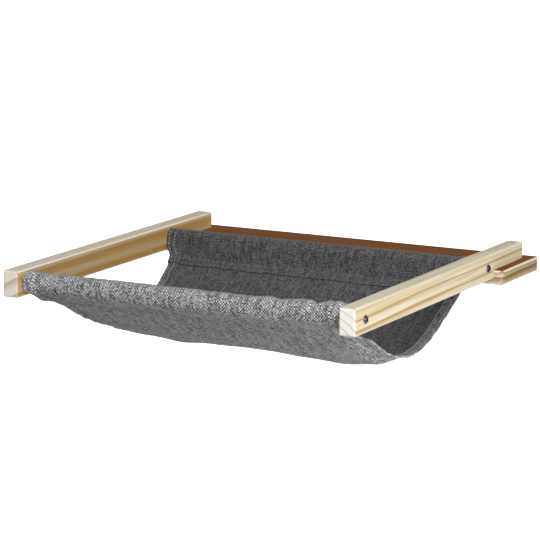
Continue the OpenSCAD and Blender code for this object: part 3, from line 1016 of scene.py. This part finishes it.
@dataclass(frozen=True)
class Stitching:
    """Rows of thread, each a chain of short bowed stitches that dip into the cloth at their ends.

    The thread is drawn thicker than it is, so that the rows show in a picture. bow, dip and end_share are
    shares of its radius.
    """

    pitch: float = 4.2
    gap: float = 0.9
    thread_r: float = 0.4
    bow: float = 1.7
    dip: float = 1.2
    end_share: float = 0.5
    rings: int = 5
    sides: int = 6

    def stitch(self, path: np.ndarray, up: np.ndarray) -> np.ndarray:
        """Points of one stitch, as rings round its path.

        Args:
            path: Points along the stitch on the cloth.
            up: The cloth's normal there.

        Returns:
            The rings as [ring, side, (x, y, z)].
        """
        arch = np.sin(np.linspace(0.0, math.pi, len(path)))
        girth = self.thread_r * (self.end_share + (1 - self.end_share) * arch)
        lift = self.thread_r * (self.bow * arch - self.dip)
        beside = np.cross(path[-1] - path[0], up)
        beside /= np.linalg.norm(beside)
        turn = np.linspace(0.0, 2 * math.pi, self.sides, endpoint=False)[:, None]
        ring = np.cos(turn) * beside + np.sin(turn) * up
        return (path + lift[:, None] * up)[:, None] + girth[:, None, None] * ring[None]

    def build(self, name: str, lines: list[tuple[np.ndarray, np.ndarray]]) -> bpy.types.Object:
        """Sew along lines on the cloth.

        Args:
            name: Name of the piece.
            lines: Each row's points on the cloth, and the normals there.

        Returns:
            The stitches as one piece.
        """
        blocks = []
        for line, normals in lines:
            steps = np.linalg.norm(np.diff(line, axis=0), axis=-1)
            place = np.concatenate([[0.0], np.cumsum(steps)])
            for start in np.arange(self.gap, place[-1] - self.pitch, self.pitch):
                spots = np.linspace(start, start + self.pitch - self.gap, self.rings)
                path, ups = (
                    np.stack([np.interp(spots, place, grid[:, i]) for i in range(3)], axis=-1)
                    for grid in (line, normals)
                )
                up = ups.mean(axis=0)
                blocks.append(self.stitch(path, up / np.linalg.norm(up)))
        rings = np.stack(blocks)
        index = np.arange(rings[..., 0].size).reshape(rings.shape[:3])
        turned = np.roll(index, -1, axis=2)
        sides = np.stack([index[:, :-1], turned[:, :-1], turned[:, 1:], index[:, 1:]], axis=-1)
        faces = [*sides.reshape(-1, 4).tolist(), *index[:, 0, ::-1].tolist(), *index[:, -1].tolist()]
        return new_piece(name, rings, faces)


FRONT_CREASES = (
    Crease(17.0, 7.0, 1.0), Crease(118.0, 9.0, 2.2), Crease(151.0, 9.0, 2.0), Crease(168.0, 12.0, 3.4),
    Crease(177.5, 3.5, 2.0, -6.0, 130.0, 65.0), Crease(184.5, 3.0, -5.0, -6.0, 95.0, 60.0),
    Crease(191.5, 4.0, 1.6, -4.0, 130.0, 65.0), Crease(208.0, 13.0, 7.0), Crease(209.0, 2.5, -2.2, 4.0),
    Crease(-80.0, 20.0, 0.5), Crease(-228.0, 9.0, 5.2, 0.0, 190.0, 60.0),
    Crease(-224.0, 5.0, 3.4, 6.0, 170.0, 48.0), Crease(-208.5, 5.0, 3.8, 9.0, 170.0, 48.0),
    Crease(-216.5, 1.8, -5.0, 9.0, 140.0, 75.0),
)
HEM_LIFTS = (
    Lift(Side.LEFT, -125.0, 38.0, 6.8, 42.0), Lift(Side.LEFT, -60.0, 50.0, 5.2, 42.0),
    Lift(Side.LEFT, -161.0, 13.4, -4.3, 42.0), Lift(Side.RIGHT, -10.0, 62.0, 5.8, 30.0),
    Lift(Side.RIGHT, 105.0, 50.0, 3.2, 25.0), Lift(Side.RIGHT, 5.0, 6.0, -1.0, 13.0),
    Lift(Side.RIGHT, -70.0, 42.0, 4.5, 18.0), Lift(Side.RIGHT, -118.0, 30.0, 6.5, 18.0),
    Lift(Side.RIGHT, 70.0, 58.0, -7.0, 10.0, 26.0), Lift(Side.RIGHT, 70.0, 55.0, 4.5, 15.0, 56.0),
)


@dataclass
class Sling:
    """The cloth: one panel with a sleeve over each rod, hemmed at both sides and sewn with two rows.

    Places on the flat cloth are across, from the middle, and along, from the lowest line to the rear.
    reach is the distance down the panel from a sleeve, and edge the distance in from the nearer side.
    """

    front: Sleeve = Sleeve(
        End.FRONT, slack=3.0, leave=27.0, handles=(0.5, 0.28), turned=(45.0, 112.0),
        waves=Ripples(0.45, 18.0, 58.0), seed=31, creases=FRONT_CREASES,
    )
    rear: Sleeve = Sleeve(
        End.REAR, slack=0.8, leave=35.0, handles=(0.36, 0.42), turned=(100.0, 160.0),
        waves=Ripples(0.25, 18.0, 58.0), seed=41,
    )
    cloth_t: float = 1.2
    side_gap: float = 1.0
    layer_gap: float = 0.15
    turned_under: float = 20.0
    # The sag, and pockets as places, widths and heights in shares of the half width and of their depth
    hem_sag: float = 87.0
    belly_sag: float = 95.0
    belly_power: int = 3
    pocket_depth: float = 7.0
    pockets: tuple[Triple, ...] = (
        (0.7, 0.26, 1.15), (0.34, 0.16, 0.22), (0.0, 0.22, -0.12), (-0.45, 0.3, 0.32),
    )
    # How far the sides draw in below the rods, on the right only towards the rear
    left_draw: float = 13.0
    right_draw: float = 6.5
    right_drawn: Pair = (-90.0, 10.0)
    draw_power: int = 4
    # Hems: width, added thickness and rows of stitches
    hem_w: float = 14.0
    hem_extra: float = 1.4
    hem_rows: Pair = (3.0, 11.5)
    # Where the hems' thickness ends, before and past their width, and the same under a sewn return
    hem_step: Pair = (0.9, 0.4)
    hem_under: Pair = (1.0, 3.0)
    hem_under_extra: float = 0.5
    # How much less of the painted shade inside the sling the hems take, and how sharply that ends
    hem_shade: float = 0.62
    hem_shade_edge: float = 0.5
    # Seams of the sleeves: reach of the return's top, of the rows of stitches, and of its edge past them
    seam_top: float = 26.0
    seam_rows: Pair = (28.5, 37.5)
    free_edge: float = 2.5
    # Columns from a hem's inner stitches to the ends of the seams' stitches
    seam_inset: int = 4
    # What the stitches pull in, at each side of a row
    hem_pull: float = 0.4
    seam_pull: float = 0.25
    pull_w: float = 1.1
    # Share of a hem's thickness on the inner face, at the sleeves and on the panel, and the rows between
    inner_shares: Pair = (0.25, 0.75)
    panel_fade: tuple[int, int] = (4, 8)
    # Folds: puckers about the seam, slow waves over the panel, a fan at each side, and the hem's own form
    folds_from: Pair = (8.0, 60.0)
    pucker: Ripples = Ripples(0.45, 9.0, 19.0)
    pucker_about: Pair = (33.0, 17.0)
    slow: Ripples = Ripples(0.5, 45.0, 120.0, slant=0.35)
    fan: Ripples = Ripples(0.6, 26.0, 48.0, slant=-0.6)
    fan_about: Pair = (18.0, 26.0)
    lip: tuple[Triple, ...] = ((0.0, 7.0, 2.0), (14.0, 6.0, -1.6), (30.0, 10.0, 1.2))
    # How finely the mesh is divided: in the hems, beside them from a first to a last place, and between
    hem_columns: tuple[float, ...] = (0.0, 0.5, 1.2, 2.1, 4.2, 5.6, 7.2, 8.8, 10.2, 12.6, 13.4)
    side_columns: Triple = (0.8, 50.0, 1.2)
    middle_columns: int = 151
    row_step: float = 1.0
    lead_step: float = 2.0
    roll_rows: int = 30
    rise_rows: int = 11
    panel_rows: int = 74
    rim_points: int = 3
    smoothings: int = 2

    def __post_init__(self) -> None:
        """Take the cloth's width and its lowest line from the rods."""
        (front_axis, self.rod_r), (rear_axis, _) = self.front.rod(), self.rear.rod()
        self.low_y = (front_axis[0] + rear_axis[0]) / 2
        self.rod_z = front_axis[1]
        self.half_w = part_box("front_rod")[1].x / MM - self.side_gap

    def edge(self, across: np.ndarray) -> np.ndarray:
        """Distance in from the nearer side."""
        return self.half_w - np.abs(across)

    def sag(self, across: np.ndarray) -> np.ndarray:
        """Depth of the lowest line below the rods.

        Args:
            across: Places across the cloth.

        Returns:
            Depth at each place.
        """
        share = across / self.half_w
        pocket = sum(height * hump(share, place, width) for place, width, height in self.pockets)
        belly = (self.belly_sag - self.hem_sag) * (1 - np.abs(share) ** self.belly_power)
        return self.hem_sag + belly + self.pocket_depth * pocket

    def folds(self, sleeve: Sleeve, across: np.ndarray, reach: np.ndarray, ahead: np.ndarray) -> np.ndarray:
        """Height of the panel's folds on its outer face.

        Args:
            sleeve: The sleeve at this half of the panel.
            across: Places across the cloth.
            reach: Distances from where the panel leaves the sleeve.
            ahead: Distances to the rear from the lowest line.

        Returns:
            Height at each place.
        """
        edge = self.edge(across)
        away = smooth_step(*self.folds_from, reach)
        pucker = self.pucker.rise(across, reach, sleeve.seed + 1) * hump(reach, *self.pucker_about)
        slow = self.slow.rise(across, reach, sleeve.seed + 2) * away
        fan = self.fan.rise(reach, np.abs(across), sleeve.seed + 3) * hump(edge, *self.fan_about)
        # The hem stands up as a ridge, with a hollow beside it, and its edge turns out
        lip = sum(height * hump(edge, place, width) for place, width, height in self.lip)
        lift = sum(lift.rise(across, ahead, self.half_w) for lift in HEM_LIFTS)
        return pucker + slow + (fan + lip) * away - lift

    def speed(self, sleeve: Sleeve) -> float:
        """Length of the half panel's curve for each unit of its share, near the sleeve."""
        return 3 * sleeve.handles[0] * abs(self.low_y - sleeve.leaving()[0])

    def half_panel(
        self, sleeve: Sleeve, across: np.ndarray, share: np.ndarray
    ) -> tuple[np.ndarray, np.ndarray]:
        """Points of one half of the panel, from a sleeve down to the lowest line.

        Args:
            sleeve: The sleeve.
            across: Places across the cloth.
            share: Shares of the half's curve, one for each row.

        Returns:
            The points as [row, column, (y, z)], and the outward normal of each.
        """
        start = sleeve.leaving()
        span = abs(self.low_y - start[0])
        low = np.stack([np.full_like(across, self.low_y), self.rod_z - self.sag(across)], axis=-1)
        points = [
            np.broadcast_to(start, low.shape),
            np.broadcast_to(start + sleeve.handles[0] * span * sleeve.run, low.shape),
            low - np.array([sleeve.hand * sleeve.handles[1] * span, 0.0]),
            low,
        ]
        curve = bezier(points, share)
        slope = bezier([after - before for before, after in zip(points, points[1:])], share)
        slope = slope / np.linalg.norm(slope, axis=-1, keepdims=True)
        outward = sleeve.hand * np.stack([slope[..., 1], -slope[..., 0]], axis=-1)
        reach = share[:, None] * self.speed(sleeve)
        height = self.folds(sleeve, across[None], reach, curve[..., 0] - self.low_y)
        return curve + height[..., None] * outward, outward

    def tuck_reach(self) -> np.ndarray:
        """Reach of the rows of a sleeve's sewn return.

        Returns:
            The distances, from the free edge to the top.
        """
        last = self.seam_rows[1]
        sewn = np.arange(last, self.seam_top, -self.row_step)
        return np.array([last + self.free_edge, last + self.free_edge / 2, *sewn, self.seam_top])

    def panel_reach(self) -> np.ndarray:
        """Reach of the panel's first rows, with one on each row of stitches.

        Returns:
            The distances, close together about the seam.
        """
        first, last = self.seam_rows
        lead = np.arange(self.lead_step, first - self.lead_step, self.lead_step)
        seam = np.arange(first - self.lead_step, last + 2 * self.lead_step, self.row_step)
        return np.concatenate([lead, seam])

    def sleeve_rows(self, sleeve: Sleeve, across: np.ndarray) -> tuple[np.ndarray, np.ndarray]:
        """Rows of one sleeve, from its free edge inside the sling to where the panel leaves it.

        Args:
            sleeve: The sleeve.
            across: Places across the cloth.

        Returns:
            The sewn return, the way up and the roll, as [row, column, (y, z)], and how far each row and
            column shows the cloth's back face, darkened as painted shade.
        """
        panel, outward = self.half_panel(sleeve, across, self.tuck_reach() / self.speed(sleeve))
        before, after = self.hem_under
        hem = 1 - smooth_step(self.hem_w - before, self.hem_w + after, self.edge(across))
        step = sleeve.layer + self.layer_gap + self.hem_under_extra * hem
        tuck = panel - step[None, :, None] * outward
        seam = tuck[-1]
        # The way up meets the roll where it touches it, and the roll goes on to the panel
        centre, radius = sleeve.circle()
        away = seam - centre
        distance = np.linalg.norm(away, axis=-1)
        touch = np.degrees(np.arctan2(away[:, 1], sleeve.hand * away[:, 0]) + np.arccos(radius / distance))
        part = np.linspace(0.0, 1.0, self.roll_rows)[:, None]
        angle = touch[None] + (sleeve.leave_angle - touch[None]) * part
        fade = np.sqrt(np.clip(np.sin(np.pi * part), 0.0, 1.0))
        lifted = radius + sleeve.rise(across[None], angle) * fade
        roll = sleeve.clear(centre + lifted[..., None] * sleeve.spoke(angle))
        between = np.linspace(0.0, 1.0, self.rise_rows)[1:-1, None, None]
        way = seam[None] + (roll[0] - seam)[None] * between
        # Painted shade: the return, the way up and the roll up to the given angles show the darkened back
        # face
        plain = np.ones((len(tuck) + len(way), len(across)))
        reverse = np.concatenate([plain, 1 - smooth_step(*sleeve.turned, angle)])
        return np.concatenate([tuck, way, roll]), reverse

    def columns(self) -> np.ndarray:
        """Places across the cloth: fine in the hems, with one on each row of stitches.

        Returns:
            The places, from the left edge to the right one.
        """
        start, stop, step = self.side_columns
        hem = sorted([*self.hem_columns, *self.hem_rows, self.hem_w])
        beside = np.arange(self.hem_w + start, self.hem_w + stop, step)
        left = np.concatenate([hem, beside]) - self.half_w
        middle = np.linspace(left[-1], -left[-1], self.middle_columns)[1:-1]
        return np.concatenate([left, middle, -left[::-1]])

    def surface(self) -> Faces:
        """Work out both faces of the cloth.

        Returns:
            The faces.
        """
        across = self.columns()
        halves, reverse_and_shade_grids = [], []
        for sleeve in (self.front, self.rear):
            roll, reverse = self.sleeve_rows(sleeve, across)
            near = self.panel_reach() / self.speed(sleeve)
            share = np.concatenate([near, np.linspace(near[-1], 1.0, self.panel_rows)[1:]])
            panel, _ = self.half_panel(sleeve, across, share)
            halves.append(np.concatenate([roll, panel]))
            reverse_and_shade_grids.append(np.concatenate([reverse, np.zeros(panel.shape[:2])]))
        rows = np.concatenate([halves[0], halves[1][-2::-1]])
        reverse = np.concatenate([reverse_and_shade_grids[0], reverse_and_shade_grids[1][-2::-1]])
        for _ in range(self.smoothings):
            rows[1:-1] = (rows[:-2] + 2 * rows[1:-1] + rows[2:]) / 4
        # Both halves have as many rows, those of the sleeve and then those of the panel
        low_row = len(halves[0]) - 1
        front_row = len(roll)
        rear_row = len(rows) - 1 - front_row
        steps = np.linalg.norm(np.diff(rows, axis=0), axis=-1)
        along = np.concatenate([np.zeros((1, len(across))), np.cumsum(steps, axis=0)])
        along = along - along[low_row]
        drop = np.clip((self.rod_z - self.rod_r - rows[..., 1]) / self.hem_sag, 0.0, 1.0)
        right_draw = self.right_draw * smooth_step(*self.right_drawn, rows[..., 0] - self.low_y)
        draw = np.where(across < 0, self.left_draw, right_draw) * (1 - (1 - drop) ** self.draw_power)
        points = np.stack([across * (1 - draw / self.half_w), rows[..., 0], rows[..., 1]], axis=-1)
        # The normal points away from the rods and down from the panel
        normal = np.cross(np.gradient(points, axis=1), np.gradient(points, axis=0))
        normal /= np.linalg.norm(normal, axis=-1, keepdims=True)
        normal *= -np.sign(normal[low_row, len(across) // 2, 2])
        outside, inside = self.thickness(across, along, front_row, rear_row)
        sewn = []
        for row in self.seam_rows:
            sewn.append(int(np.argmin(np.abs(self.tuck_reach() - row))))
            sewn.append(front_row + int(np.argmin(np.abs(self.panel_reach() - row))))
        return Faces(
            outer=points + outside[..., None] * normal,
            inner=points - inside[..., None] * normal,
            normal=normal,
            across=np.broadcast_to(across, along.shape),
            along=along,
            reverse=reverse,
            sewn=[*sewn, *(len(rows) - 1 - row for row in sewn)],
        )

    def thickness(
        self, across: np.ndarray, along: np.ndarray, front_row: int, rear_row: int
    ) -> tuple[np.ndarray, np.ndarray]:
        """Half thicknesses of the cloth, thicker in the hems and pulled in by the stitches.

        Args:
            across: Places across the cloth.
            along: Places along the cloth, for each row and column.
            front_row: First row of the panel.
            rear_row: Last row of the panel.

        Returns:
            How far the outer and the inner face lie from the middle.
        """
        edge = self.edge(across)[None]
        before, after = self.hem_step
        hem = self.hem_extra * (1 - smooth_step(self.hem_w - before, self.hem_w + after, edge))
        rows = np.arange(len(along))[:, None]
        out, into = self.panel_fade
        panel = smooth_step(front_row - out, front_row + into, rows)
        panel = panel * (1 - smooth_step(rear_row - into, rear_row + out, rows))
        on_sleeve, on_panel = self.inner_shares
        inner_share = on_sleeve + (on_panel - on_sleeve) * panel
        reach = np.minimum(np.abs(along - along[front_row]), np.abs(along - along[rear_row]))
        at_hems = sum(self.hem_pull * hump(edge, row, self.pull_w) for row in self.hem_rows)
        at_seams = sum(self.seam_pull * hump(reach, row, self.pull_w) for row in self.seam_rows)
        pulled = at_hems + at_seams * (panel > 0.5)
        half = self.cloth_t / 2
        return half + (1 - inner_share) * hem - pulled, half + inner_share * hem - pulled

    def build_cloth(self, faces: Faces) -> bpy.types.Object:
        """Join both faces round the edges into one closed mesh.

        Args:
            faces: Both faces of the cloth.

        Returns:
            The cloth.
        """
        rows, count = faces.outer.shape[:2]
        rim = self.rim_points
        rims = []
        for column, beside, start, stop in (
            (-1, -2, faces.outer, faces.inner), (0, 1, faces.inner, faces.outer),
        ):
            middle, spoke = (start + stop) / 2, (start - stop)[:, column] / 2
            outward = middle[:, column] - middle[:, beside]
            outward /= np.linalg.norm(outward, axis=-1, keepdims=True)
            outward *= np.linalg.norm(spoke, axis=-1, keepdims=True)
            turns = np.linspace(0.0, math.pi, rim + 2)[1:-1]
            rims.append(np.stack(
                [middle[:, column] + spoke * math.cos(turn) + outward * math.sin(turn) for turn in turns],
                axis=1,
            ))
        ring = np.concatenate([faces.outer, rims[0], faces.inner[:, ::-1], rims[1]], axis=1)
        index = np.arange(ring[..., 0].size).reshape(ring.shape[:2])
        turned = np.roll(index, -1, axis=1)
        quads = np.stack([index[:-1], turned[:-1], turned[1:], index[1:]], axis=-1).reshape(-1, 4).tolist()
        for row in (0, rows - 1):
            quads += [
                [index[row, c], index[row, c + 1], *index[row, [-c - 2 - rim, -c - 1 - rim]]]
                for c in range(count - 1)
            ]
            quads.append([*index[row, count - 1:count + rim + 1]])
            quads.append([index[row, 0], *index[row, -rim - 1:][::-1]])
        cloth = new_piece("sling_cloth", ring, quads)
        shell = bmesh.new()
        shell.from_mesh(cloth.data)
        bmesh.ops.recalc_face_normals(shell, faces=shell.faces)
        shell.to_mesh(cloth.data)
        shell.free()
        # Inside the sling the cloth shows its back face, darkened as painted shade, and the hems, folded
        # inward, a tone between the two
        near, far = self.hem_w - self.hem_shade_edge, self.hem_w + self.hem_shade_edge
        inside = self.hem_shade + (1 - self.hem_shade) * smooth_step(near, far, self.edge(faces.across))
        grids = ((faces.across, faces.across), (faces.along, faces.along), (faces.reverse, inside))
        place = [
            np.concatenate([face, *[face[:, -1:]] * rim, back[:, ::-1], *[face[:, :1]] * rim], axis=1)
            for face, back in grids
        ]
        cloth.data.attributes.new(CLOTH_PLACE, "FLOAT_VECTOR", "POINT").data.foreach_set(
            "vector", np.stack(place, axis=-1).reshape(-1).astype(np.float32)
        )
        return cloth

    def build(self) -> None:
        faces = self.surface()
        cloth = self.build_cloth(faces)
        cloth.data.materials.append(HeatherWeave().material())
        edges = [side.value * (self.half_w - row) for side in Side for row in self.hem_rows]
        columns = [int(np.argmin(np.abs(faces.across[0] - edge))) for edge in edges]
        hems = [
            (grid[:, column], sign * faces.normal[:, column])
            for column in columns
            for grid, sign in ((faces.outer, 1.0), (faces.inner, -1.0))
        ]
        inset = columns[1] + self.seam_inset
        seams = [
            (faces.outer[row, inset:-inset], faces.normal[row, inset:-inset]) for row in faces.sewn
        ]
        stitches = [
            Stitching().build("sling_hem_stitching", hems),
            Stitching().build("sling_seam_stitching", seams),
        ]
        threads = (SpunThread(), SpunThread("polyester_spun_thread_dark", "#85868a", "#606165"))
        for piece, thread in zip(stitches, threads):
            piece.data.materials.append(thread.material())
        for piece in (cloth, *stitches):
            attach(piece, BODY)
            log.info("%s built with %d faces", piece.name, len(piece.data.polygons))
        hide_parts("sling")


def main() -> None:
    """Build the studio and the hammock in order."""
    logging.basicConfig(level=logging.INFO, format="%(name)s: %(message)s")
    StudioCamera().build()
    Studio().build()
    Arms().dress()
    BackBoard().dress()
    Fixings().dress()
    Sling().build()


if __name__ == "__main__":
    main()
